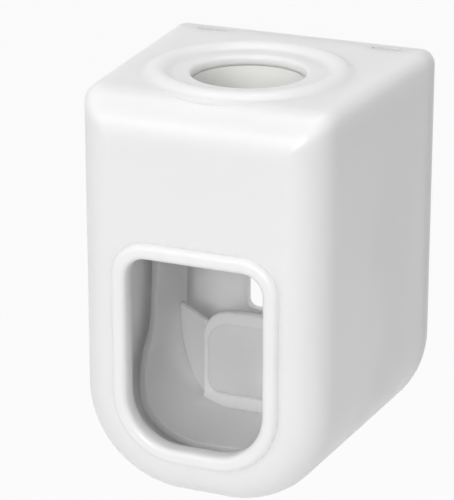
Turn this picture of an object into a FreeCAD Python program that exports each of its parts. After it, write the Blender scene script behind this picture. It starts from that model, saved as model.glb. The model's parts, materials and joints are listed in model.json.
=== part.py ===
"""Wall-mounted push-type toothpaste dispenser: case, rear cover, swinging push cradle and diaphragm pump.

Each piece is drawn with the case's back edge at Y = 0 and its lowest point at Z = 0,
X to the right and Y to the wall.
Its placement then moves it so that the centre of the wall pad's back face is the origin.
"""
import FreeCAD, Part
import math
import os
import re
import Sketcher

SIZES = {
    # case
    "shell_width": 61.0,
    "shell_depth": 58.5,
    "shell_height": 88.2,
    "side_draft": 3.4,
    "bottom_draft": 1.0,
    "wall": 2.2,
    "top_round": 3.0,
    "hollow_round": 2.8,
    "bottom_round_back": 24.0,
    "bottom_round_front": 22.0,
    "front_round": 8.9,
    # brush window and its bezel
    "window_width": 30.6,
    "window_bottom": 13.1,
    "window_top": 54.5,
    "window_top_round": 4.5,
    "window_bottom_round": 11.0,
    "bezel_width": 3.3,
    "bezel_height": 1.5,
    "bezel_round": 1.2,
    # top hole, bead and soft tube seal
    "socket_offset": 1.15,
    "socket_radius": 12.1,
    "lip_round": 0.8,
    "bead_inner": 16.4,
    "bead_outer": 22.0,
    "bead_height": 1.3,
    "bead_crown": 0.95,
    "bead_crown_round": 2.8,
    "bead_foot": 1.0,
    "bead_foot_round": 2.0,
    "seal_flange": 1.2,
    "seal_wall": 1.4,
    "seal_depth": 8.2,
    "seal_base": 4.68,
    "seal_round": 1.4,
    "neck_radius": 6.0,
    # rear cover
    "cover_thickness": 2.0,
    "cover_rim": 1.1,
    "cover_gap": 0.15,
    "rear_window_width": 24.2,
    "rear_window_bottom": 23.4,
    "rear_window_top": 46.5,
    "rear_window_round": 2.0,
    "hook_inset": 10.05,
    "hook_width": 6.1,
    "hook_reach": 1.3,
    "hook_drop": 4.2,
    "post_radius": 2.5,
    # wall pad
    "pad_thickness": 1.0,
    "pad_width": 48.0,
    "pad_height": 21.5,
    "pad_drop": 1.82,
    "pad_round": 3.0,
    # push cradle, its pivots and press bar
    "cradle_gap": 3.5,
    "cradle_wall": 1.5,
    "floor_setback": 16.5,
    "floor_rear": 20.0,
    "arm_gap": 2.3,
    "arm_back": 4.5,
    "arm_neck": 3.4,
    "arm_tip_round": 3.4,
    "arm_back_round": 8.0,
    "heel_slope": 3.0,
    "sweep_top_share": 0.47,
    "sweep_round": 10.0,
    "toe_share": 0.15,
    "toe_round": 8.0,
    "pivot_back": 1.4,
    "pivot_drop": 11.0,
    "pivot_radius": 2.0,
    "pivot_boss": 4.2,
    "bar_back": 10.5,
    "bar_drop": 1.0,
    "bar_radius": 2.0,
    "paddle_gap": 10.5,
    "paddle_top": 30.0,
    "paddle_thickness": 2.0,
    "paddle_round": 6.5,
    "paddle_edge": 0.4,
    "dish_depth": 1.0,
    "dish_rim": 1.0,
    "dish_top_rim": 3.0,
    "spring_height": 15.0,
    "spring_radius": 3.9,
    "spring_wire": 0.8,
    "spring_turns": 8.0,
    "spring_post": 2.9,
    "spring_post_length": 3.0,
    # pump carrier
    "carrier_plate": 2.0,
    "deck_thickness": 2.5,
    "deck_inset": 1.3,
    "deck_margin": 2.3,
    "deck_back": 4.6,
    "carrier_boss": 3.2,
    # pump
    "chamber_radius": 7.5,
    "chamber_back": 6.4,
    "chamber_length": 14.5,
    "pump_wall": 2.0,
    "flange_radius": 20.2,
    "flange_thickness": 2.0,
    "outlet_radius": 4.5,
    "outlet_drop": 13.7,
    "valve_radius": 3.0,
    "valve_flange": 1.2,
    "valve_length": 4.0,
    "valve_wall": 0.8,
    "bill_share": 0.7,
    "diaphragm_thickness": 1.2,
    "cap_depth": 3.5,
    "cap_plate": 1.5,
    "cap_skirt": 1.2,
    "plunger_radius": 4.0,
    "plunger_disc": 6.0,
    "plunger_disc_thickness": 1.4,
    "press_gap": 0.4,
    # fits and fasteners
    "running_gap": 0.05,
    "press_allowance": 0.02,
    "part_gap": 0.3,
    "screw_radius": 1.3,
    "screw_head": 2.6,
    "small_screw_radius": 1.0,
    "small_screw_head": 2.0,
    "small_screw_head_height": 1.4,
    "clip_radius": 3.4,
    "clip_thickness": 0.6,
}

PLACES = {
    # bottom corners of the case, kept within its width
    "back_corner": "min(bottom_round_back; shell_width / 2 - wall)",
    "front_corner": "min(bottom_round_front; shell_width / 2 - side_draft - wall)",
    # widths across the case
    "cradle_width": "shell_width - 2 * (wall + cradle_gap)",
    "paddle_width": "cradle_width - 2 * paddle_gap",
    "carrier_inner": "cradle_width / 2 - cradle_wall - arm_gap - carrier_plate",
    "carrier_boss_place": "carrier_inner - carrier_plate",
    "deck_width": "cradle_width - 2 * deck_inset",
    "hook_place": "shell_width / 2 - hook_inset",
    "cup_outer": "socket_radius + seal_wall + pump_wall",
    "cap_outer": "chamber_radius + pump_wall + press_allowance + cap_plate",
    # depths, from the back edge of the case to the front
    "socket_depth": "shell_depth / 2 + socket_offset",
    "chamber_rear": "socket_depth - chamber_back",
    "bar_depth": "chamber_rear - bar_back",
    "arm_rear": "bar_depth - arm_back",
    "heel_rear": "arm_rear + heel_slope",
    "pivot_depth": "socket_depth - pivot_back",
    "arm_front": "pivot_depth - arm_neck",
    "floor_front": "shell_depth - floor_setback",
    "deck_front": "socket_depth + cup_outer + part_gap + deck_margin",
    "deck_rear": "socket_depth - cup_outer - part_gap - deck_back",
    # heights, from the top of the case down
    "seal_top": "shell_height - wall",
    "seal_floor": "shell_height - seal_depth",
    "cup_top": "seal_top - seal_flange - cover_gap",
    "cup_floor": "seal_floor - seal_base",
    "deck_bottom": "cup_floor - pump_wall",
    "pad_top": "deck_bottom - pad_drop",
    "pad_bottom": "pad_top - pad_height",
    "chamber_height": "deck_bottom - part_gap - cap_outer",
    "outlet_end": "chamber_height - outlet_drop",
    "bar_height": "chamber_height - bar_drop",
    "cradle_top": "bar_height + 2 * bar_radius",
    "pivot_height": "bar_height - pivot_drop",
    "cradle_floor": "wall + cradle_gap",
    "cradle_corner": "back_corner - wall - cradle_gap",
    "sweep_top": "cradle_floor + sweep_top_share * (pivot_height - cradle_floor)",
    "toe_top": "cradle_floor + toe_share * (pivot_height - cradle_floor)",
}

doc = FreeCAD.newDocument("toothpaste_dispenser")
sheet = doc.addObject("Spreadsheet::Sheet", "sizes")
cells = {alias: str(number) for alias, number in SIZES.items()}
cells.update((alias, f"={formula}") for alias, formula in PLACES.items())
for row, (alias, content) in enumerate(cells.items(), start=1):
    sheet.set(f"A{row}", alias)
    sheet.set(f"B{row}", content)
    sheet.setAlias(f"B{row}", alias)
doc.recompute()
pieces = []
FLATNESS = 1e-4


def bound(formula):
    """The formula with each size name read from the sheet."""
    def with_sheet(word):
        name = word.group()
        return f"sizes.{name}" if name in cells else name

    return re.sub(r"[a-z_]+", with_sheet, formula)


def number_of(formula):
    """The number that a formula over size names gives."""
    return float(sheet.evalExpression(bound(formula)))


def place(piece, depth="0", height="0"):
    """Move a piece drawn about a point at this depth and height into the part's frame."""
    piece.setExpression("Placement.Base.y", bound(f"-(pad_thickness + {depth})"))
    piece.setExpression("Placement.Base.z", bound(f"{height} - (pad_bottom + pad_top) / 2"))


def new_body(label, depth="0", height="0"):
    """Empty body for one piece, kept for the export at the end."""
    body = doc.addObject("PartDesign::Body", label)
    body.Label = label
    place(body, depth, height)
    pieces.append(body)
    return body


def new_sketch(body, plane, offset="0"):
    """Sketch on one of the body's own planes: XZ looks back, XY looks down, YZ looks left."""
    sketch = body.newObject("Sketcher::SketchObject", f"{body.Name}_sketch")
    support = next(f for f in body.Origin.OriginFeatures if f.Role == f"{plane}_Plane")
    sketch.AttachmentSupport = [(support, "")]
    sketch.MapMode = "FlatFace"
    sketch.setExpression("AttachmentOffset.Base.z", bound(offset))
    return sketch


def constrain(sketch, formula, *terms):
    """Add a constraint whose size follows a formula."""
    index = sketch.addConstraint(Sketcher.Constraint(*terms, number_of(formula)))
    sketch.setExpression(f"Constraints[{index}]", bound(formula))


def pin(sketch, geometry, position, across, up):
    """Hold a point of the sketch at a place given by two formulas."""
    for kind, axis, formula in (("DistanceX", -2, across), ("DistanceY", -1, up)):
        if formula == "0":
            sketch.addConstraint(Sketcher.Constraint("PointOnObject", geometry, position, axis))
        else:
            constrain(sketch, formula, kind, -1, 1, geometry, position)


def draw_circle(sketch, across, up, radius):
    """Circle whose centre and radius are formulas."""
    centre = FreeCAD.Vector(number_of(across), number_of(up))
    circle = sketch.addGeometry(Part.Circle(centre, FreeCAD.Vector(0, 0, 1), number_of(radius)))
    pin(sketch, circle, 3, across, up)
    constrain(sketch, radius, "Radius", circle)


def rounded_corner(before, corner, after, radius):
    """Arc that rounds a corner, and whether it runs the same way as the outline."""
    back = (before - corner).normalize()
    ahead = (after - corner).normalize()
    half_angle = back.getAngle(ahead) / 2
    centre = corner + (back + ahead).normalize() * (radius / math.sin(half_angle))
    reach = radius / math.tan(half_angle)
    forward = back.cross(ahead).z < 0
    first, last = (back, ahead) if forward else (ahead, back)
    angles = []
    for way in (first, last):
        spoke = corner + way * reach - centre
        angles.append(math.atan2(spoke.y, spoke.x))
    if angles[1] < angles[0]:
        angles[1] += 2 * math.pi
    circle = Part.Circle(centre, FreeCAD.Vector(0, 0, 1), radius)
    return Part.ArcOfCircle(circle, *angles), forward


def draw_outline(sketch, corners):
    """Closed outline through corners (across, up) or (across, up, rounding), each a formula."""
    points = [FreeCAD.Vector(number_of(c[0]), number_of(c[1])) for c in corners]
    count = len(corners)
    starts, ends, arcs = [], [], []
    for index, corner in enumerate(corners):
        point = points[index]
        if len(corner) == 2:
            arcs.append(None)
            starts.append(point)
            ends.append(point)
            continue
        following = points[(index + 1) % count]
        arc, forward = rounded_corner(points[index - 1], point, following, number_of(corner[2]))
        arcs.append((sketch.addGeometry(arc), forward))
        ends.append(arc.StartPoint if forward else arc.EndPoint)
        starts.append(arc.EndPoint if forward else arc.StartPoint)
    lines = [
        sketch.addGeometry(Part.LineSegment(starts[index], ends[(index + 1) % count]))
        for index in range(count)
    ]
    for index, corner in enumerate(corners):
        arriving, leaving = lines[index - 1], lines[index]
        if arcs[index] is None:
            sketch.addConstraint(Sketcher.Constraint("Coincident", arriving, 2, leaving, 1))
            pin(sketch, leaving, 1, corner[0], corner[1])
            continue
        arc, forward = arcs[index]
        sketch.addConstraint(Sketcher.Constraint("Tangent", arriving, 2, arc, 1 if forward else 2))
        sketch.addConstraint(Sketcher.Constraint("Tangent", leaving, 1, arc, 2 if forward else 1))
        constrain(sketch, corner[2], "Radius", arc)
        tip = sketch.addGeometry(Part.Point(points[index]), True)
        pin(sketch, tip, 1, corner[0], corner[1])
        for line in (arriving, leaving):
            sketch.addConstraint(Sketcher.Constraint("PointOnObject", tip, 1, line))


def box_corners(left, right, bottom, top, *rounding):
    """Corners of an upright rectangle, all with the same rounding if one is given."""
    return [
        (left, bottom, *rounding),
        (right, bottom, *rounding),
        (right, top, *rounding),
        (left, top, *rounding),
    ]


def extrude(body, kind, sketch, length, flip=False):
    """Pad or pocket of a sketch; a pad runs along the sketch's normal and a pocket against it."""
    feature = body.newObject(f"PartDesign::{kind}", f"{body.Name}_{kind.lower()}")
    feature.Profile = sketch
    feature.setExpression("Length", bound(length))
    feature.Reversed = flip
    doc.recompute()
    return feature


def turn(body, kind, sketch, axis):
    """Full turn of a sketch about one of its own axes, as added or removed material."""
    feature = body.newObject(f"PartDesign::{kind}", f"{body.Name}_{kind.lower()}")
    feature.Profile = sketch
    feature.ReferenceAxis = (sketch, [axis])
    feature.Angle = 360
    doc.recompute()
    return feature


def loft(body, kind, first, last):
    """Straight-sided loft between two sketches."""
    feature = body.newObject(f"PartDesign::{kind}", f"{body.Name}_loft")
    feature.Profile = first
    feature.Sections = [last]
    feature.Ruled = True
    doc.recompute()
    return feature


def edges_in(body, axis, place, chosen=lambda box: True):
    """Names of the body's edges that lie in a plane across an axis, and whose box is chosen."""
    plane = getattr(body.Placement.Base, axis.lower()) + number_of(place)
    names = []
    for index, edge in enumerate(body.Shape.Edges, start=1):
        box = edge.BoundBox
        ends = getattr(box, f"{axis}Min"), getattr(box, f"{axis}Max")
        if max(abs(end - plane) for end in ends) < FLATNESS and chosen(box):
            names.append(f"Edge{index}")
    return names


def fillet(body, names, radius):
    """Rounding of the body's named edges."""
    base = body.Tip
    feature = body.newObject("PartDesign::Fillet", f"{body.Name}_fillet")
    feature.Base = (base, names)
    feature.setExpression("Radius", bound(radius))
    doc.recompute()
    return feature


def drill(body, plane, offset, length, places, radius, flip=False):
    """Round holes of one radius at several places of a plane."""
    sketch = new_sketch(body, plane, offset)
    for across, up in places:
        draw_circle(sketch, across, up, radius)
    return extrude(body, "Pocket", sketch, length, flip)


def raise_posts(body, plane, offset, length, places, radius, flip=False):
    """Round posts of one radius at several places of a plane."""
    sketch = new_sketch(body, plane, offset)
    for across, up in places:
        draw_circle(sketch, across, up, radius)
    return extrude(body, "Pad", sketch, length, flip)


def case_section(body, depth, half_width, bottom, top, bottom_round, *top_round):
    """Upright section of the case: flat top, upright sides and a deep rounding at each bottom corner."""
    sketch = new_sketch(body, "XZ", depth)
    draw_outline(sketch, [
        (f"-({half_width})", bottom, bottom_round),
        (half_width, bottom, bottom_round),
        (half_width, top, *top_round),
        (f"-({half_width})", top, *top_round),
    ])
    return sketch


def add_case_form(body, inset, top_round):
    """Solid form of the case with rounded front and top edges, smaller by an inset but open to the back."""
    half_width, top = f"shell_width / 2 - {inset}", f"shell_height - {inset}"
    front_depth = f"shell_depth - {inset}"
    back = case_section(body, "0", half_width, inset, top, f"back_corner - {inset}")
    front = case_section(
        body, front_depth, f"{half_width} - side_draft", f"bottom_draft + {inset}", top,
        f"front_corner - {inset}")
    loft(body, "AdditiveLoft", back, front)
    fillet(body, edges_in(body, "Y", f"-({front_depth})"), f"front_round - {inset}")
    long_enough = number_of("shell_depth / 2")
    fillet(body, edges_in(body, "Z", top, lambda box: box.YLength > long_enough), top_round)


def window_outline(body, depth, margin):
    """Outline of the brush window, grown by a margin all round."""
    sketch = new_sketch(body, "XZ", depth)
    half_width = f"window_width / 2 + {margin}"
    bottom, top = f"window_bottom - {margin}", f"window_top + {margin}"
    draw_outline(sketch, [
        (f"-({half_width})", bottom, f"window_bottom_round + {margin}"),
        (half_width, bottom, f"window_bottom_round + {margin}"),
        (half_width, top, f"window_top_round + {margin}"),
        (f"-({half_width})", top, f"window_top_round + {margin}"),
    ])
    return sketch


def build_hollow():
    """Space inside the case, one wall smaller all round."""
    body = doc.addObject("PartDesign::Body", "case_hollow")
    add_case_form(body, "wall", "hollow_round")
    return body


def build_outer_shell():
    """White case with its window, bezel, top bead and hook slots."""
    body = new_body("outer_shell")
    add_case_form(body, "0", "top_round")
    bezel = window_outline(body, "shell_depth - wall / 2", "bezel_width")
    extrude(body, "Pad", bezel, "wall / 2 + bezel_height")
    bezel_front = "-(shell_depth + bezel_height)"
    fillet(body, edges_in(body, "Y", bezel_front), "bezel_round")

    hollow = doc.addObject("PartDesign::Boolean", "outer_shell_hollow")
    body.addObject(hollow)
    hollow.Type = "Cut"
    hollow.addObject(build_hollow())
    doc.recompute()

    cover_seat = case_section(
        body, "cover_thickness", "shell_width / 2 - cover_rim", "cover_rim", "shell_height - cover_rim",
        "back_corner - cover_rim", "top_round - cover_rim")
    extrude(body, "Pocket", cover_seat, "cover_thickness")
    opening = window_outline(body, "shell_depth + 2 * bezel_height", "0")
    extrude(body, "Pocket", opening, "wall + 4 * bezel_height")
    edge_of_mouth = number_of("window_width / 2 + bezel_width / 3")
    mouth = edges_in(body, "Y", bezel_front, lambda box: max(-box.XMin, box.XMax) < edge_of_mouth)
    fillet(body, mouth, "bezel_round")

    shelves = new_sketch(body, "XZ", "deck_front")
    for side in ("-", ""):
        inner, outer = f"{side}(deck_width / 2 - wall)", f"{side}(shell_width / 2 - side_draft - wall / 2)"
        shelf = box_corners(inner, outer, "deck_bottom - wall - part_gap", "deck_bottom - part_gap / 3")
        draw_outline(shelves, shelf)
    extrude(body, "Pad", shelves, "3 * wall", flip=True)
    add_top_socket(body)

    slots = new_sketch(body, "XY", "shell_height - 2 * wall")
    for side in ("-", ""):
        near, far = (f"{side}(hook_place {sign} (hook_width / 2 + cover_gap))" for sign in "-+")
        slot_front = "-(cover_thickness + hook_reach + cover_gap)"
        draw_outline(slots, box_corners(near, far, slot_front, "-cover_thickness"))
    extrude(body, "Pocket", slots, "4 * wall", flip=True)


def add_top_socket(body):
    """Bead on the top of the case and the hole that the tube goes into."""
    bead = new_sketch(body, "XZ", "socket_depth")
    middle = "(bead_inner + bead_outer) / 2"
    root = "shell_height - wall / 2"
    crest = "shell_height + bead_height"
    draw_outline(bead, [
        ("bead_inner - bead_foot", root),
        ("bead_outer + bead_foot", root),
        ("bead_outer + bead_foot", "shell_height"),
        ("bead_outer", "shell_height", "bead_foot_round"),
        (f"{middle} + bead_crown", crest, "bead_crown_round"),
        (f"{middle} - bead_crown", crest, "bead_crown_round"),
        ("bead_inner", "shell_height", "bead_foot_round"),
        ("bead_inner - bead_foot", "shell_height"),
    ])
    turn(body, "Revolution", bead, "V_Axis")
    hole = new_sketch(body, "XZ", "socket_depth")
    draw_outline(hole, [
        ("0", "shell_height - 2 * wall"),
        ("socket_radius", "shell_height - 2 * wall"),
        ("socket_radius", "shell_height", "lip_round"),
        ("socket_radius + lip_round + part_gap", "shell_height"),
        ("socket_radius + lip_round + part_gap", crest),
        ("0", crest),
    ])
    turn(body, "Groove", hole, "V_Axis")


def build_tube_seal():
    """Soft socket under the top hole: a wide mouth and a narrow bore that grips the tube's neck."""
    body = new_body("tube_seal", depth="socket_depth")
    sketch = new_sketch(body, "XZ")
    draw_outline(sketch, [
        ("neck_radius", "cup_floor + valve_flange"),
        ("socket_radius + seal_wall", "cup_floor + valve_flange"),
        ("socket_radius + seal_wall", "seal_top - seal_flange"),
        ("cup_outer", "seal_top - seal_flange"),
        ("cup_outer", "seal_top"),
        ("socket_radius", "seal_top"),
        ("socket_radius", "seal_floor", "seal_round"),
        ("neck_radius", "seal_floor", "seal_round / 2"),
    ])
    turn(body, "Revolution", sketch, "V_Axis")


def build_rear_cover():
    """Plate that closes the back, with the see-through window, hooks, stop posts and spring post."""
    body = new_body("rear_cover")
    inset = "(cover_rim + cover_gap)"
    plate = case_section(
        body, "0", f"shell_width / 2 - {inset}", inset, f"shell_height - {inset}",
        f"back_corner - {inset}", f"top_round - {inset}")
    draw_outline(plate, box_corners(
        "-rear_window_width / 2", "rear_window_width / 2", "rear_window_bottom", "rear_window_top",
        "rear_window_round"))
    extrude(body, "Pad", plate, "cover_thickness")

    hook_top = "shell_height - cover_gap"
    for reach, start, top in (
            ("hook_reach", "cover_thickness", "shell_height - wall - cover_gap"),
            ("hook_reach - cover_gap", "cover_thickness + cover_gap", hook_top)):
        hooks = new_sketch(body, "XZ", start)
        for side in ("-", ""):
            near, far = (f"{side}(hook_place {sign} hook_width / 2)" for sign in "-+")
            draw_outline(hooks, box_corners(near, far, "shell_height - hook_drop", top))
        extrude(body, "Pad", hooks, reach)

    sides = ("-carrier_boss_place", "carrier_boss_place")
    stop_length = "bar_depth - bar_radius - part_gap - valve_flange - cover_thickness"
    raise_posts(body, "XZ", "cover_thickness", stop_length, [(x, "bar_height") for x in sides], "post_radius")
    raise_posts(body, "XZ", "cover_thickness", "spring_post_length", [("0", "spring_height")], "spring_post")
    screws = [(x, "deck_bottom + deck_thickness / 2") for x in sides]
    drill(body, "XZ", "cover_thickness", "cover_thickness", screws, "screw_radius + running_gap")
    heads = "screw_head - screw_radius"
    drill(body, "XZ", heads, heads, screws, "screw_head + running_gap")


def build_cover_screws():
    """Two screws through the rear cover into the carrier."""
    body = new_body("cover_screws", height="deck_bottom + deck_thickness / 2")
    sides = [("-carrier_boss_place", "0"), ("carrier_boss_place", "0")]
    raise_posts(body, "XZ", "0", "screw_head - screw_radius", sides, "screw_head")
    raise_posts(body, "XZ", "0", "deck_rear", sides, "screw_radius")


def build_wall_pad():
    """Adhesive pad between the rear cover and the wall."""
    body = new_body("wall_pad")
    sketch = new_sketch(body, "XZ", "-pad_thickness")
    draw_outline(sketch, box_corners("-pad_width / 2", "pad_width / 2", "pad_bottom", "pad_top", "pad_round"))
    extrude(body, "Pad", sketch, "pad_thickness")


def build_push_cradle():
    """Swinging piece in the window: two arms and a floor bent as a U, and the paddle that a brush pushes."""
    body = new_body("push_cradle")
    outer, inner = "cradle_width / 2", "cradle_width / 2 - cradle_wall"
    outside = [
        (f"-({outer})", "cradle_floor", "cradle_corner"),
        (outer, "cradle_floor", "cradle_corner"),
        (outer, "cradle_top + wall"),
        (f"-({outer})", "cradle_top + wall"),
    ]
    inside = [
        (inner, "cradle_top + wall"),
        (inner, "cradle_floor + cradle_wall", "cradle_corner - cradle_wall"),
        (f"-({inner})", "cradle_floor + cradle_wall", "cradle_corner - cradle_wall"),
        (f"-({inner})", "cradle_top + wall"),
    ]
    channel = new_sketch(body, "XZ")
    draw_outline(channel, outside[:3] + inside + outside[3:])
    extrude(body, "Pad", channel, "floor_front + wall")
    trim = new_sketch(body, "YZ", "-cradle_width")
    draw_outline(trim, box_corners("-2 * floor_front", "floor_front", "-cradle_floor", "2 * cradle_top"))
    draw_outline(trim, arm_corners())
    extrude(body, "Pocket", trim, "2 * cradle_width", flip=True)

    paddle = new_sketch(body, "XZ", "floor_rear")
    draw_outline(paddle, [
        ("-paddle_width / 2", "cradle_floor"),
        ("paddle_width / 2", "cradle_floor"),
        ("paddle_width / 2", "paddle_top", "paddle_round"),
        ("-paddle_width / 2", "paddle_top", "paddle_round"),
    ])
    extrude(body, "Pad", paddle, "paddle_thickness")
    gussets = new_sketch(body, "XY", "cradle_floor")
    for side in ("-", ""):
        draw_outline(gussets, [
            (f"{side}(paddle_width / 2 - cradle_wall)", "-(floor_rear + paddle_thickness / 2)"),
            (f"{side}(paddle_width / 2)", "-(floor_rear + paddle_thickness / 2)"),
            (f"{side}({outer} - cradle_wall / 2)", "-(heel_rear + cradle_wall)"),
            (f"{side}({outer} - cradle_wall / 2)", "-heel_rear"),
        ])
    extrude(body, "Pad", gussets, "paddle_top - dish_top_rim - cradle_floor")

    around = new_sketch(body, "XZ", "2 * floor_front")
    draw_outline(around, box_corners("-cradle_width", "cradle_width", "-cradle_floor", "2 * cradle_top"))
    draw_outline(around, outside)
    extrude(body, "Pocket", around, "3 * floor_front")

    dish = new_sketch(body, "XZ", "floor_rear + paddle_thickness")
    dish_half, dish_low = "(paddle_width / 2 - dish_rim)", "cradle_floor + 3 * cradle_wall"
    draw_outline(dish, [
        (f"-{dish_half}", dish_low, "dish_top_rim"),
        (dish_half, dish_low, "dish_top_rim"),
        (dish_half, "paddle_top - dish_top_rim", "paddle_round - dish_rim"),
        (f"-{dish_half}", "paddle_top - dish_top_rim", "paddle_round - dish_rim"),
    ])
    extrude(body, "Pocket", dish, "dish_depth")
    above = body.Placement.Base.z + number_of(f"{dish_low} - paddle_edge")
    rims = edges_in(body, "Y", "-(floor_rear + paddle_thickness)", lambda box: box.ZMax > above)
    fillet(body, rims, "paddle_edge")
    seat = [("0", "spring_height")]
    raise_posts(body, "XZ", "floor_rear", "spring_post_length", seat, "spring_post", flip=True)

    pivot = [("-pivot_depth", "pivot_height")]
    bearing = "carrier_inner + carrier_plate + part_gap"
    raise_posts(body, "YZ", bearing, f"{outer} - ({bearing})", pivot, "pivot_boss")
    raise_posts(body, "YZ", f"-({outer})", f"{outer} - ({bearing})", pivot, "pivot_boss")
    drill(body, "YZ", "-cradle_width", "2 * cradle_width", pivot, "pivot_radius + running_gap", flip=True)
    bar = [("-bar_depth", "bar_height")]
    drill(body, "YZ", "-cradle_width", "2 * cradle_width", bar, "bar_radius + press_allowance", flip=True)


def arm_corners():
    """Side outline of the cradle: heel, bar end, pivot, swept front edge and floor."""
    reach, below = "pivot_depth + pivot_boss", "cradle_floor - cradle_wall"
    return [
        ("-heel_rear", below),
        ("-arm_rear", "pivot_height + bar_radius", "arm_back_round"),
        ("-(bar_depth - 2 * bar_radius)", "cradle_top", "arm_tip_round"),
        ("-(bar_depth + 2 * bar_radius)", "cradle_top", "arm_tip_round"),
        (f"-({reach})", "pivot_height + pivot_boss", "pivot_boss"),
        (f"-({reach})", "pivot_height - pivot_boss", "pivot_boss"),
        ("-arm_front", "pivot_height - 3 / 2 * pivot_boss", "pivot_boss / 2"),
        ("-(arm_front + cradle_wall)", "sweep_top", "sweep_round"),
        ("-(floor_front - cradle_wall)", "toe_top", "toe_round"),
        ("-floor_front", below),
    ]


def build_press_bar():
    """Rod across the upper ends of the arms."""
    body = new_body("press_bar", depth="bar_depth", height="bar_height")
    raise_posts(body, "YZ", "-cradle_width / 2", "cradle_width", [("0", "0")], "bar_radius")


def build_pivot_pins():
    """Two headed pins, pressed into the carrier from inside."""
    body = new_body("pivot_pins", depth="pivot_depth", height="pivot_height")
    head = "carrier_inner - clip_thickness"
    end = "cradle_width / 2 + part_gap / 2 + 2 * clip_thickness"
    for start in (head, f"-({end})"):
        raise_posts(body, "YZ", start, f"{end} - ({head})", [("0", "0")], "pivot_radius")
    for start in (head, "-carrier_inner"):
        raise_posts(body, "YZ", start, "clip_thickness", [("0", "0")], "clip_radius")


def build_pin_clips():
    """Two push-on clips outside the arms."""
    body = new_body("pin_clips", depth="pivot_depth", height="pivot_height")
    near = "cradle_width / 2 + part_gap / 2"
    for start in (near, f"-({near} + clip_thickness)"):
        sketch = new_sketch(body, "YZ", start)
        draw_circle(sketch, "0", "0", "clip_radius")
        draw_circle(sketch, "0", "0", "pivot_radius + press_allowance")
        extrude(body, "Pad", sketch, "clip_thickness")


def build_stop_bumpers():
    """Two soft caps on the stop posts, which the press bar rests on."""
    body = new_body("stop_bumpers", height="bar_height")
    start = "bar_depth - bar_radius - part_gap - valve_flange"
    sides = [("-carrier_boss_place", "0"), ("carrier_boss_place", "0")]
    raise_posts(body, "XZ", start, "valve_flange", sides, "post_radius")


def biarc(start, start_way, end, end_way):
    """Two arcs that leave the start along one unit direction and reach the end along another."""
    span, ways = end - start, start_way + end_way
    bend = 2 * (1 - start_way.dot(end_way))
    reach = (-span.dot(ways) + math.sqrt(span.dot(ways) ** 2 + bend * span.dot(span))) / bend
    meeting = (start + start_way * reach + end - end_way * reach) / 2
    arcs = []
    for first, last, knee, way in (
            (start, meeting, start + start_way * reach, start_way),
            (meeting, end, end - end_way * reach, end_way)):
        chord = last - first
        rise = chord.Length / 2 * math.tan(chord.getAngle(way) / 2)
        middle = (first + last) / 2
        arcs.append(Part.Arc(first, middle + (knee - middle).normalize() * rise, last).toShape())
    return arcs


def build_return_spring():
    """Compression spring between the paddle and the rear cover, as one unbroken tube."""
    radius, wire = number_of("spring_radius"), number_of("spring_wire / 2")
    turns = number_of("spring_turns")
    rear = number_of("-cover_thickness - spring_wire")
    front = number_of("-floor_rear + spring_wire")
    quarters = round(4 * turns)

    def station(quarter):
        """Point and direction of the wire's centre line after some quarter turns."""
        angle = quarter * math.pi / 2
        rise = (front - rear) / quarters
        point = FreeCAD.Vector(radius * math.cos(angle), rear + rise * quarter, radius * math.sin(angle))
        way = FreeCAD.Vector(-radius * math.sin(angle), rise * 2 / math.pi, radius * math.cos(angle))
        return point, way.normalize()

    edges = []
    for quarter in range(quarters):
        edges += biarc(*station(quarter), *station(quarter + 1))
    point, way = station(0)
    section = Part.Wire(Part.makeCircle(wire, point, way))
    tube = Part.Wire(edges).makePipeShell([section], True, False)
    print("return_spring gap between turns", round((rear - front) / turns - 2 * wire, 2))
    spring = doc.addObject("Part::Feature", "return_spring")
    spring.Label = "return_spring"
    spring.Shape = tube
    place(spring, height="spring_height")
    pieces.append(spring)


def build_pump_carrier():
    """Frame of the pump: a deck with two side plates for the pivots and two bosses for the cover's screws."""
    body = new_body("pump_carrier")
    deck = new_sketch(body, "XY", "deck_bottom")
    draw_outline(deck, box_corners(
        "-deck_width / 2", "deck_width / 2", "-deck_front", "-deck_rear", "carrier_boss"))
    extrude(body, "Pad", deck, "deck_thickness")
    rear, front = "chamber_rear - pivot_boss", "pivot_depth + pivot_boss + deck_thickness"
    for start in ("carrier_inner", "-(carrier_inner + carrier_plate)"):
        plate = new_sketch(body, "YZ", start)
        draw_outline(plate, [
            (f"-({front})", "pivot_height - pivot_boss", "pivot_boss"),
            (f"-({rear})", "pivot_height - pivot_boss", "pivot_boss"),
            (f"-({rear})", "deck_bottom + deck_thickness / 2"),
            (f"-({front})", "deck_bottom + deck_thickness / 2"),
        ])
        extrude(body, "Pad", plate, "carrier_plate")
    sides = [(x, "deck_bottom + deck_thickness / 2") for x in ("-carrier_boss_place", "carrier_boss_place")]
    boss_end = "deck_rear + pump_wall"
    raise_posts(body, "XZ", "cover_thickness", f"{boss_end} - cover_thickness", sides, "carrier_boss")
    drill(body, "XZ", boss_end, boss_end, sides, "screw_radius + press_allowance")
    pivot = [("-pivot_depth", "pivot_height")]
    drill(body, "YZ", "-cradle_width", "2 * cradle_width", pivot, "pivot_radius + press_allowance", flip=True)
    over, through = "deck_bottom + deck_thickness + wall", "deck_thickness + 2 * wall"
    drill(body, "XY", over, through, [("0", "-socket_depth")], "cup_outer + part_gap")
    drill(body, "XY", over, through, flange_screws("-socket_depth"), "small_screw_radius + press_allowance")


def flange_screws(up="0"):
    """Places of the four screws in the pump's flange."""
    reach = "(flange_radius - small_screw_head - part_gap) / sqrt(2)"
    return [(f"{across}{reach}", f"{up} {along} {reach}") for across in ("-", "") for along in "-+"]


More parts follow.
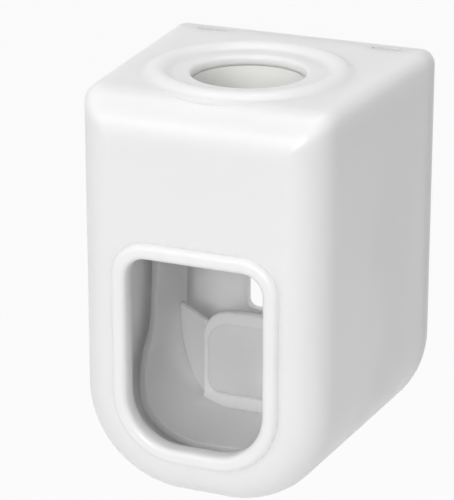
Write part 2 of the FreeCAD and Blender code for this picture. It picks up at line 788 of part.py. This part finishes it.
def build_pump_body():
    """Cup for the soft seal, pump chamber open to the rear, and outlet neck."""
    body = new_body("pump_body", depth="socket_depth")
    cup_radius = "socket_radius + seal_wall + cover_gap"
    cup = new_sketch(body, "XZ")
    shoulder = "deck_bottom + deck_thickness"
    draw_outline(cup, [
        ("0", "chamber_height"),
        ("valve_radius + pump_wall", "chamber_height"),
        ("valve_radius + pump_wall", "deck_bottom"),
        ("cup_outer", "deck_bottom"),
        ("cup_outer", shoulder),
        ("flange_radius", shoulder),
        ("flange_radius", f"{shoulder} + flange_thickness"),
        ("cup_outer", f"{shoulder} + flange_thickness"),
        ("cup_outer", "cup_top"),
        ("0", "cup_top"),
    ])
    turn(body, "Revolution", cup, "V_Axis")
    rear = "chamber_rear - socket_depth"
    axis = [("0", "chamber_height")]
    raise_posts(body, "XZ", rear, "chamber_length", axis, "chamber_radius + pump_wall")
    neck = "chamber_height - chamber_radius - outlet_end"
    raise_posts(body, "XY", "outlet_end", neck, [("0", "0")], "outlet_radius")
    bore = "chamber_length - pump_wall"
    drill(body, "XZ", f"{rear} + {bore}", bore, axis, "chamber_radius")
    drill(body, "XY", "cup_top + wall", "cup_top + wall - cup_floor", [("0", "0")], cup_radius)
    drill(body, "XY", "cup_floor + wall", "chamber_radius", [("0", "0")], "valve_radius")
    drill(body, "XY", "chamber_height - chamber_radius / 2", "chamber_height", [("0", "0")], "valve_radius")
    drill(body, "XY", f"{shoulder} + 2 * flange_thickness", "3 * flange_thickness", flange_screws(),
          "small_screw_radius + running_gap")


def build_pump_screws():
    """Four screws that hold the pump's flange on the deck."""
    flange_top = "deck_bottom + deck_thickness + flange_thickness"
    body = new_body("pump_screws", depth="socket_depth", height=flange_top)
    shank = "flange_thickness + deck_thickness"
    raise_posts(body, "XY", "0", "small_screw_head_height", flange_screws(), "small_screw_head")
    length = f"{shank} + small_screw_head_height / 2"
    raise_posts(body, "XY", f"-({shank})", length, flange_screws(), "small_screw_radius")


def build_pump_diaphragm():
    """Soft disc that closes the chamber, with a thicker middle that the plunger presses."""
    body = new_body("pump_diaphragm", depth="chamber_rear", height="chamber_height")
    sketch = new_sketch(body, "YZ")
    rim = "chamber_radius + pump_wall - running_gap"
    draw_outline(sketch, [
        ("0", "0"),
        ("diaphragm_thickness", "0"),
        ("diaphragm_thickness", rim),
        ("0", rim),
        ("0", "chamber_radius - diaphragm_thickness"),
        ("-diaphragm_thickness", "plunger_disc", "diaphragm_thickness / 2"),
        ("-diaphragm_thickness", "0"),
    ])
    turn(body, "Revolution", sketch, "H_Axis")


def build_diaphragm_cap():
    """Cap that grips the chamber's end, clamps the diaphragm's rim and guides the plunger."""
    body = new_body("diaphragm_cap", depth="chamber_rear", height="chamber_height")
    sketch = new_sketch(body, "YZ")
    rim = "chamber_radius + pump_wall + press_allowance"
    end = "diaphragm_thickness + cap_depth"
    draw_outline(sketch, [
        ("-cap_skirt", rim),
        ("diaphragm_thickness", rim),
        ("diaphragm_thickness", "plunger_disc + part_gap"),
        (f"{end} - cap_plate", "plunger_disc + part_gap"),
        (f"{end} - cap_plate", "plunger_radius + running_gap"),
        (end, "plunger_radius + running_gap"),
        (end, f"{rim} + cap_plate", "cap_plate"),
        ("-cap_skirt", f"{rim} + cap_plate"),
    ])
    turn(body, "Revolution", sketch, "H_Axis")


def build_plunger_button():
    """Button between the press bar and the diaphragm."""
    body = new_body("plunger_button", depth="chamber_rear", height="chamber_height")
    sketch = new_sketch(body, "YZ")
    front = "diaphragm_thickness + cover_gap"
    tail = "chamber_rear - bar_depth - bar_radius - press_gap"
    draw_outline(sketch, [
        (front, "0"),
        (tail, "0"),
        (tail, "plunger_radius", "press_gap"),
        (f"{front} + plunger_disc_thickness", "plunger_radius"),
        (f"{front} + plunger_disc_thickness", "plunger_disc"),
        (front, "plunger_disc"),
    ])
    turn(body, "Revolution", sketch, "H_Axis")


def build_valve(label, top):
    """Soft duckbill valve: a flange and a bill that narrows downwards to a slit."""
    body = new_body(label, depth="socket_depth", height=top)
    barrel = "valve_radius - running_gap"
    raise_posts(body, "XY", "-valve_flange", "valve_flange", [("0", "0")], "outlet_radius")
    raise_posts(body, "XY", "-(valve_flange + valve_wall)", "valve_wall", [("0", "0")], barrel)
    bill = []
    for drop, half_width, half_depth in (
            ("valve_wall", barrel, barrel), ("valve_length", barrel, "valve_wall")):
        sketch = new_sketch(body, "XY", f"-(valve_flange + {drop})")
        across, along = f"({half_width}) * bill_share", f"({half_depth}) * bill_share"
        draw_outline(sketch, box_corners(f"-{across}", across, f"-{along}", along, "valve_wall / 3"))
        bill.append(sketch)
    loft(body, "AdditiveLoft", *bill)
    drill(body, "XY", "valve_wall", "valve_flange + 3 * valve_wall", [("0", "0")], "valve_radius / 2")
    slit = new_sketch(body, "XY", "-(2 * valve_flange + valve_length)")
    draw_outline(slit, box_corners(
        "-valve_radius / 2", "valve_radius / 2", "-valve_wall / 8", "valve_wall / 8"))
    extrude(body, "Pocket", slit, "2 * valve_length", flip=True)


def build_nozzle_collar():
    """Collar that clamps the outlet valve under the outlet neck."""
    body = new_body("nozzle_collar", depth="socket_depth", height="outlet_end")
    bore = "outlet_radius + press_allowance"
    sketch = new_sketch(body, "XZ")
    draw_outline(sketch, [
        (bore, "2 * valve_flange"),
        (bore, "-valve_flange"),
        ("valve_radius + running_gap", "-valve_flange"),
        ("valve_radius + running_gap", "-2 * valve_flange"),
        (f"{bore} + cap_plate", "-2 * valve_flange", "cap_plate / 2"),
        (f"{bore} + cap_plate", "2 * valve_flange"),
    ])
    turn(body, "Revolution", sketch, "V_Axis")


build_outer_shell()
build_tube_seal()
build_rear_cover()
build_cover_screws()
build_wall_pad()
build_push_cradle()
build_press_bar()
build_pivot_pins()
build_pin_clips()
build_stop_bumpers()
build_return_spring()
build_pump_carrier()
build_pump_body()
build_pump_screws()
build_pump_diaphragm()
build_diaphragm_cap()
build_plunger_button()
build_valve("inlet_valve", "cup_floor + valve_flange")
build_valve("outlet_valve", "outlet_end")
build_nozzle_collar()
doc.recompute()

os.makedirs("parts", exist_ok=True)
for item in doc.Objects:
    if {"Invalid", "Error"} & set(item.State):
        raise RuntimeError(f"{item.Label} did not build")
for piece in pieces:
    if piece.Shape.isNull() or not piece.Shape.isValid() or not piece.Shape.Solids:
        raise RuntimeError(f"{piece.Label} has no sound solid")
    piece.Shape.exportStep(f"parts/{piece.Label}.step")
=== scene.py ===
"""Looks of the wall-mounted toothpaste dispenser: finishes, soft pieces, studio light and camera.

Lengths are metres.
"""
import bmesh
import bpy
import json
import math
from mathutils import Matrix, Vector


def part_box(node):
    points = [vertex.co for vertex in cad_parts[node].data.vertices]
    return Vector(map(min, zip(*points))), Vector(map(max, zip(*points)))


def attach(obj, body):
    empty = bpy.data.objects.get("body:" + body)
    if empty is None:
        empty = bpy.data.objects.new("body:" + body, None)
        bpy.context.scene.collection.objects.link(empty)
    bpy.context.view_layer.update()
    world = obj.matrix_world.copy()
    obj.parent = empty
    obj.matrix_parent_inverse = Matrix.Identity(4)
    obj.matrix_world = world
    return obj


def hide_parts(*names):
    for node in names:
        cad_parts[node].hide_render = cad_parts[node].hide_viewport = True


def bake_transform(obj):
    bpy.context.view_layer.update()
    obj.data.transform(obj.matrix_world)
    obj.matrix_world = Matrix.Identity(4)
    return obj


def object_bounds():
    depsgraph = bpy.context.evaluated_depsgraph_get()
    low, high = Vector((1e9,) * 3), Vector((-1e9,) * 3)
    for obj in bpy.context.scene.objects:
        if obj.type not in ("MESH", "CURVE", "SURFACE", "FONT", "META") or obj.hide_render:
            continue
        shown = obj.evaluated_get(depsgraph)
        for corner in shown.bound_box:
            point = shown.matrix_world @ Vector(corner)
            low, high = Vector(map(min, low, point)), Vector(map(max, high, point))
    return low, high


MM = 0.001

# camera, at the photograph's viewing angle
IMAGE_HEIGHT_PIXELS = 500
SENSOR_WIDTH = 36.0
FOCAL_PIXELS = 2612.0
CAMERA_YAW = math.radians(23.30)
CAMERA_PITCH = math.radians(19.93)
CAMERA_DISTANCE = 558.6 * MM
AIM_RIGHT = -4.45 * MM
AIM_UP = 3.87 * MM
AIM_MIDDLE = Vector((0, -31.5 * MM, -16.25 * MM))

# studio
FLOOR_DROP = 250 * MM
FLOOR_REACH = 40.0
FLOOR_WHITE_SHARE = 0.92
FLOOR_GREY = 0.86
FLOOR_ROUGHNESS = 0.9
LIGHT_BOUNCES = 24
LAMP_DISTANCE = 0.9
LAMPS = (  # name, direction from the part, width of the soft box, watts
    ("key", (-0.35, -0.75, 0.50), 0.30, 0.9),
    ("front", (0.15, -0.93, 0.30), 0.20, 3.0),
    ("top", (-0.1, 0.1, 1.0), 0.6, 2.0),
)
AMBIENT_STRENGTH = 0.46

# finishes
NOISE_RANGE = (0.3, 0.7)
CLOUD_SIZE = 18 * MM
GLOSS_SIZE = 3 * MM
PLASTIC_SCATTER = 3.5 * MM
STEEL_LINE_WIDTH = 0.12 * MM
STEEL_LINE_DEPTH = 0.004 * MM
STEEL_STRETCH_SHARE = 0.06
FOAM_CELL_SIZE = 0.45 * MM
FOAM_CELL_DEPTH = 0.06 * MM
FOAM_CLOUD_SIZE = 6 * MM

# return spring
SPRING_WIRE = 0.8 * MM
SPRING_TURNS = 8
POINTS_PER_TURN = 24

# pump diaphragm
DIAPHRAGM_FOLD_SHARE = 0.72
DIAPHRAGM_CLEARANCE = 0.05 * MM
TURN_STEPS = 48

# foam wall pad
PAD_CORNER = 3.0 * MM
PAD_EDGE_BULGE = 0.12 * MM
PAD_CORNER_STEPS = 10
PAD_LAYERS = 5

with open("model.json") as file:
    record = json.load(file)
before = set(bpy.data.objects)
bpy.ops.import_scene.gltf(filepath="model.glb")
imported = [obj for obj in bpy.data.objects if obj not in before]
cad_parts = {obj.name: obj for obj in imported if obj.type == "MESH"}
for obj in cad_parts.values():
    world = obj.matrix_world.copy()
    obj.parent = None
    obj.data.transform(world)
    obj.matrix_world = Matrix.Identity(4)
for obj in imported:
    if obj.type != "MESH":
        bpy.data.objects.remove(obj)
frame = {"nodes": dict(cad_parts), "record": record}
nodes = frame["nodes"]
cad_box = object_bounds()


class Finish:
    """A material made of shader nodes, with coordinates in the part's own frame."""

    def __init__(self, name):
        self.material = bpy.data.materials.new(name)
        self.material.use_nodes = True
        self.tree = self.material.node_tree
        self.shader = self.tree.nodes["Principled BSDF"]
        self.place = self.add("ShaderNodeTexCoord").outputs["Object"]

    def add(self, kind, **values):
        """New shader node, with inputs given by name: a socket is linked, anything else is set."""
        node = self.tree.nodes.new(kind)
        for name, value in values.items():
            self.put(node.inputs[name.replace("_", " ")], value)
        return node

    def put(self, socket, value):
        """Links a socket to an output, or sets it to a constant."""
        if isinstance(value, bpy.types.NodeSocket):
            self.tree.links.new(value, socket)
        else:
            socket.default_value = value

    def shade(self, **values):
        """Sets the shader's own inputs."""
        for name, value in values.items():
            self.put(self.shader.inputs[name.replace("_", " ")], value)

    def noise(self, size, detail=2.0, place=None):
        """Noise whose features are about as large as the given length."""
        node = self.add("ShaderNodeTexNoise", Vector=place or self.place, Scale=1 / size, Detail=detail)
        return node.outputs["Fac"]

    def spread(self, source, low, high):
        """Maps a noise's usual range to a range of values."""
        node = self.add("ShaderNodeMapRange", Value=source, To_Min=low, To_Max=high)
        node.inputs["From Min"].default_value, node.inputs["From Max"].default_value = NOISE_RANGE
        return node.outputs[0]

    def blend_colours(self, factor, first, second):
        """Colour between two, by a factor."""
        mix = self.tree.nodes.new("ShaderNodeMix")
        mix.data_type = "RGBA"
        self.put(mix.inputs[0], factor)
        self.put(mix.inputs[6], (*first, 1))
        self.put(mix.inputs[7], (*second, 1))
        return mix.outputs[2]

    def bump(self, height, depth):
        """Normal of a surface roughened to the given depth."""
        return self.add("ShaderNodeBump", Height=height, Distance=depth, Strength=1.0).outputs["Normal"]


def moulded(finish, colour, cloud_share, grain, grain_depth, roughness):
    """Moulded plastic or rubber: faint clouding, uneven gloss and a fine skin."""
    clouds = finish.spread(finish.noise(CLOUD_SIZE), 0, 1)
    darker = [(1 - cloud_share) * channel for channel in colour]
    finish.shade(
        Base_Color=finish.blend_colours(clouds, colour, darker),
        Roughness=finish.spread(finish.noise(GLOSS_SIZE, detail=4), *roughness),
        Normal=finish.bump(finish.noise(grain, detail=0), grain_depth),
    )


def white_case(finish):
    """Glossy moulded white plastic, thin enough to let a little light through."""
    moulded(
        finish,
        colour=(0.90, 0.90, 0.90),
        cloud_share=0.015,
        grain=0.6 * MM,
        grain_depth=0.001 * MM,
        roughness=(0.29, 0.36),
    )
    finish.shade(
        IOR=1.53,
        Subsurface_Weight=1.0,
        Subsurface_Radius=(1.0, 1.0, 1.0),
        Subsurface_Scale=PLASTIC_SCATTER,
    )


def white_inner(finish):
    """Satin white plastic of the working parts."""
    moulded(
        finish,
        colour=(0.88, 0.88, 0.88),
        cloud_share=0.02,
        grain=0.5 * MM,
        grain_depth=0.002 * MM,
        roughness=(0.32, 0.42),
    )
    finish.shade(IOR=1.49)


def silicone(finish):
    """Soft white rubber, slightly milky."""
    moulded(
        finish,
        colour=(0.80, 0.80, 0.785),
        cloud_share=0.04,
        grain=0.25 * MM,
        grain_depth=0.006 * MM,
        roughness=(0.48, 0.62),
    )
    finish.shade(IOR=1.41)


def steel(finish):
    """Drawn wire and turned pins: fine lines along the part."""
    stretch = finish.add("ShaderNodeMapping", Vector=finish.place, Scale=(STEEL_STRETCH_SHARE, 1, 1)).outputs[0]
    lines = finish.noise(STEEL_LINE_WIDTH, detail=5, place=stretch)
    finish.shade(
        Base_Color=finish.blend_colours(finish.spread(lines, 0, 1), (0.60, 0.61, 0.63), (0.48, 0.49, 0.51)),
        Metallic=1.0,
        Roughness=finish.spread(lines, 0.24, 0.40),
        Normal=finish.bump(lines, STEEL_LINE_DEPTH),
    )


def foam_tape(finish):
    """Grey closed-cell foam with an adhesive face."""
    cells = finish.add("ShaderNodeTexVoronoi", Vector=finish.place, Scale=1 / FOAM_CELL_SIZE).outputs["Distance"]
    clouds = finish.spread(finish.noise(FOAM_CLOUD_SIZE, detail=4), 0, 1)
    finish.shade(
        Base_Color=finish.blend_colours(clouds, (0.58, 0.59, 0.60), (0.50, 0.51, 0.53)),
        Roughness=finish.spread(cells, 0.70, 0.90),
        Normal=finish.bump(cells, FOAM_CELL_DEPTH),
    )


def make_finishes():
    """One material for each of the record's slots."""
    made = {}
    for fill in (white_case, white_inner, silicone, steel, foam_tape):
        finish = Finish(fill.__name__)
        fill(finish)
        made[fill.__name__] = finish.material
    return made


def dress_nodes(finishes):
    """Gives every CAD node the finish of its slot."""
    for part in frame["record"]["subparts"]:
        mesh = nodes[part["node"]].data
        mesh.materials.clear()
        mesh.materials.append(finishes[part["material_slot"]])


def add_piece(name, mesh, material, stands_for):
    """Puts a new mesh in the scene in place of a CAD node."""
    piece = bpy.data.objects.new(name, mesh)
    bpy.context.scene.collection.objects.link(piece)
    mesh.materials.clear()
    mesh.materials.append(material)
    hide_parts(stands_for)
    return piece


def make_spring(finishes):
    """Compression spring between the rear cover and the cradle."""
    low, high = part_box("return_spring")
    middle = (low + high) / 2
    radius = (high.x - low.x - SPRING_WIRE) / 2
    length = high.y - low.y - SPRING_WIRE
    curve = bpy.data.curves.new("spring_line", "CURVE")
    curve.dimensions = "3D"
    curve.bevel_depth = SPRING_WIRE / 2
    curve.bevel_resolution = 4
    curve.use_fill_caps = True
    spline = curve.splines.new("POLY")
    count = SPRING_TURNS * POINTS_PER_TURN
    spline.points.add(count)
    for index, point in enumerate(spline.points):
        angle = math.tau * index / POINTS_PER_TURN
        along = high.y - SPRING_WIRE / 2 - length * index / count
        point.co = (middle.x + radius * math.cos(angle), along, middle.z + radius * math.sin(angle), 1)
    line = bpy.data.objects.new("spring_line", curve)
    mesh = bpy.data.meshes.new_from_object(line)
    mesh.name = "coil_spring"
    mesh.shade_smooth()
    bpy.data.objects.remove(line)
    spring = add_piece("coil_spring", mesh, finishes["steel"], "return_spring")
    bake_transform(spring)


def make_wall_pad(finishes):
    """Foam pad whose cut edge bulges a little between its two faces."""
    low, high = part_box("wall_pad")
    middle = (low + high) / 2
    half_width, half_height = (high.x - low.x) / 2, (high.z - low.z) / 2
    shape = bmesh.new()
    rings = []
    for layer in range(PAD_LAYERS):
        share = layer / (PAD_LAYERS - 1)
        inset = PAD_EDGE_BULGE * (2 * share - 1) ** 2
        ring = []
        for corner in range(4):
            sign_x = (1, -1, -1, 1)[corner]
            sign_z = (1, 1, -1, -1)[corner]
            for step in range(PAD_CORNER_STEPS):
                angle = math.pi / 2 * (corner + step / (PAD_CORNER_STEPS - 1))
                ring.append(shape.verts.new((
                    middle.x + sign_x * (half_width - PAD_CORNER) + (PAD_CORNER - inset) * math.cos(angle),
                    low.y + share * (high.y - low.y),
                    middle.z + sign_z * (half_height - PAD_CORNER) + (PAD_CORNER - inset) * math.sin(angle),
                )))
        rings.append(ring)
    for lower, upper in zip(rings, rings[1:]):
        for index in range(len(lower)):
            following = (index + 1) % len(lower)
            shape.faces.new((lower[index], lower[following], upper[following], upper[index]))
    shape.faces.new(rings[0])
    shape.faces.new(rings[-1])
    bmesh.ops.recalc_face_normals(shape, faces=shape.faces)
    mesh = bpy.data.meshes.new("foam_pad")
    shape.to_mesh(mesh)
    shape.free()
    pad = add_piece("foam_pad", mesh, finishes["foam_tape"], "wall_pad")
    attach(pad, "housing")


def turned_mesh(name, outline, axis_height, is_ring):
    """Solid of revolution about a line along Y, from depths and radii: a ring, or a disc with flat ends."""
    shape = bmesh.new()
    circles = []
    for depth, radius in outline:
        circle = []
        for step in range(TURN_STEPS):
            angle = math.tau * step / TURN_STEPS
            place = (radius * math.cos(angle), depth, axis_height + radius * math.sin(angle))
            circle.append(shape.verts.new(place))
        circles.append(circle)
    pairs = list(zip(circles, circles[1:]))
    if is_ring:
        pairs.append((circles[-1], circles[0]))
    else:
        shape.faces.new(circles[0])
        shape.faces.new(circles[-1])
    for first, second in pairs:
        for step in range(TURN_STEPS):
            following = (step + 1) % TURN_STEPS
            shape.faces.new((first[step], first[following], second[following], second[step]))
    bmesh.ops.recalc_face_normals(shape, faces=shape.faces)
    mesh = bpy.data.meshes.new(name)
    shape.to_mesh(mesh)
    shape.free()
    return mesh


def make_diaphragm(finishes):
    """Soft wall of the pump: a rim that the cap clamps, and a thick middle that moves with the plunger."""
    low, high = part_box("pump_diaphragm")
    middle = (low + high) / 2
    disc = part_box("plunger_button")[1].x
    fold = DIAPHRAGM_FOLD_SHARE * high.x
    rim = [(middle.y, fold), (high.y, fold), (high.y, high.x), (middle.y, high.x)]
    edge = fold - DIAPHRAGM_CLEARANCE
    centre = [(high.y, edge), (middle.y, edge), (low.y, disc)]
    parts = (("diaphragm_rim", rim, "housing"), ("diaphragm_centre", centre, "plunger"))
    for name, outline, body in parts:
        mesh = turned_mesh(name, outline, middle.z, is_ring=outline is rim)
        piece = add_piece(name, mesh, finishes["silicone"], "pump_diaphragm")
        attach(piece, body)


def background_rays(tree):
    """1 for rays that should see a white background: straight from the camera, or by gloss or glass."""
    path = tree.nodes.new("ShaderNodeLightPath")
    total = path.outputs["Is Camera Ray"]
    for name in ("Is Glossy Ray", "Is Transmission Ray"):
        plus = tree.nodes.new("ShaderNodeMath")
        plus.operation = "MAXIMUM"
        tree.links.new(total, plus.inputs[0])
        tree.links.new(path.outputs[name], plus.inputs[1])
        total = plus.outputs[0]
    return total


def make_floor():
    """Pale floor well below the hanging part."""
    low = cad_box[0]
    mesh = bpy.data.meshes.new("floor")
    reach = FLOOR_REACH
    corners = [(-reach, -reach, 0), (reach, -reach, 0), (reach, reach, 0), (-reach, reach, 0)]
    mesh.from_pydata(corners, [], [(0, 1, 2, 3)])
    floor = bpy.data.objects.new("floor", mesh)
    floor.location.z = low.z - FLOOR_DROP
    bpy.context.scene.collection.objects.link(floor)
    material = bpy.data.materials.new("floor_white")
    material.use_nodes = True
    tree = material.node_tree
    surface = tree.nodes["Principled BSDF"]
    surface.inputs["Base Color"].default_value = (FLOOR_GREY, FLOOR_GREY, FLOOR_GREY, 1)
    surface.inputs["Roughness"].default_value = FLOOR_ROUGHNESS
    glow = tree.nodes.new("ShaderNodeEmission")
    share = tree.nodes.new("ShaderNodeMath")
    share.operation = "MULTIPLY"
    share.inputs[1].default_value = FLOOR_WHITE_SHARE
    tree.links.new(background_rays(tree), share.inputs[0])
    mix = tree.nodes.new("ShaderNodeMixShader")
    tree.links.new(share.outputs[0], mix.inputs[0])
    tree.links.new(surface.outputs[0], mix.inputs[1])
    tree.links.new(glow.outputs[0], mix.inputs[2])
    tree.links.new(mix.outputs[0], tree.nodes["Material Output"].inputs["Surface"])
    mesh.materials.append(material)


def make_world():
    """Even white surroundings, brighter where they are seen than where they light the part."""
    world = bpy.data.worlds.new("studio")
    bpy.context.scene.world = world
    world.use_nodes = True
    tree = world.node_tree
    strength = tree.nodes.new("ShaderNodeMapRange")
    tree.links.new(background_rays(tree), strength.inputs["Value"])
    strength.inputs["To Min"].default_value = AMBIENT_STRENGTH
    strength.inputs["To Max"].default_value = 1.0
    sky = tree.nodes["Background"]
    sky.inputs["Color"].default_value = (1, 1, 1, 1)
    tree.links.new(strength.outputs[0], sky.inputs["Strength"])


def add_lamp(name, direction, size, power):
    """Square soft box that faces the middle of the part."""
    lamp = bpy.data.lights.new(name, "AREA")
    lamp.size = size
    lamp.energy = power
    holder = bpy.data.objects.new(name, lamp)
    bpy.context.scene.collection.objects.link(holder)
    away = Vector(direction).normalized()
    holder.location = sum(cad_box, Vector()) / 2 + LAMP_DISTANCE * away
    holder.rotation_euler = (-away).to_track_quat("-Z", "Y").to_euler()


def make_camera():
    """Camera at the photograph's viewing angle."""
    back = Vector((
        math.sin(CAMERA_YAW) * math.cos(CAMERA_PITCH),
        -math.cos(CAMERA_YAW) * math.cos(CAMERA_PITCH),
        math.sin(CAMERA_PITCH),
    ))
    right = Vector((math.cos(CAMERA_YAW), math.sin(CAMERA_YAW), 0))
    up = back.cross(right)
    lens = bpy.data.cameras.new("camera")
    lens.sensor_width = SENSOR_WIDTH
    lens.lens = FOCAL_PIXELS * lens.sensor_width / IMAGE_HEIGHT_PIXELS
    lens.clip_start = CAMERA_DISTANCE / 100
    lens.clip_end = 4 * FLOOR_REACH
    camera = bpy.data.objects.new("camera", lens)
    bpy.context.scene.collection.objects.link(camera)
    eye = AIM_MIDDLE + AIM_RIGHT * right + AIM_UP * up + CAMERA_DISTANCE * back
    turn = Matrix((right, up, back)).transposed().to_4x4()
    camera.matrix_world = Matrix.Translation(eye) @ turn
    bpy.context.scene.camera = camera


finishes = make_finishes()
dress_nodes(finishes)
make_spring(finishes)
make_diaphragm(finishes)
make_wall_pad(finishes)
make_floor()
make_world()
for lamp in LAMPS:
    add_lamp(*lamp)
make_camera()

bpy.context.scene.view_settings.view_transform = "Standard"
bpy.context.scene.cycles.max_bounces = LIGHT_BOUNCES
bpy.context.scene.cycles.diffuse_bounces = LIGHT_BOUNCES
